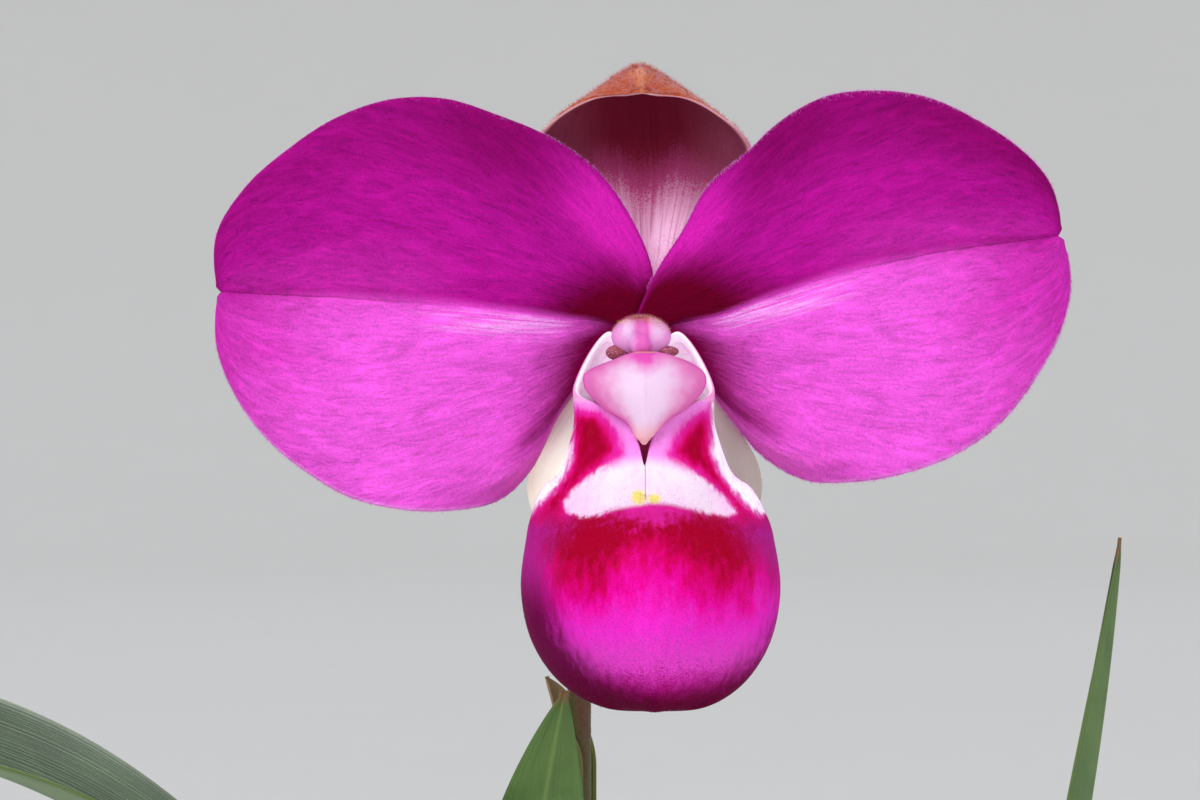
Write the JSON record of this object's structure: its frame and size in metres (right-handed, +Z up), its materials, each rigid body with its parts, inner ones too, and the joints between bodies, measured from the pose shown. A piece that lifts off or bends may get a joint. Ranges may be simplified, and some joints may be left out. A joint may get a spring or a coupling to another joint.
{
  "type": "potted slipper orchid",
  "caption": "Slipper orchid in a plain clay pot: fans of strap leaves and an upright stem with a broad-petalled flower and a pouch-shaped lip.",
  "frame": {"origin": "centre of the pot's underside", "axes": "+Z up along the pot's axis, -Y towards the side that the flower faces, +X to the flower's right as the viewer sees it"},
  "size_m": [0.3309, 0.2748, 0.446],
  "materials": {
    "terracotta": "matte",
    "bark_mix": "matte",
    "leaf": "satin",
    "stem": "matte",
    "sheath": "matte",
    "ovary": "matte",
    "sepal": "matte",
    "synsepal": "matte",
    "petal": "matte",
    "lip": "satin",
    "column": "satin",
    "staminode": "satin"
  },
  "bodies": {
    "root": {"pot": "terracotta", "potting_mix": "bark_mix", "leaf_1": "leaf", "leaf_2": "leaf", "leaf_3": "leaf", "leaf_4": "leaf", "leaf_5": "leaf", "leaf_6": "leaf", "leaf_7": "leaf", "leaf_8": "leaf", "leaf_9": "leaf", "flower_stem": "stem", "lower_sheath": "sheath", "upper_sheath": "sheath", "floral_bract": "sheath", "ovary": "ovary", "dorsal_sepal": "sepal", "synsepal": "synsepal", "petal_left": "petal", "petal_right": "petal", "lip": "lip", "column": "column", "staminode": "staminode"}
  },
  "joints": []
}
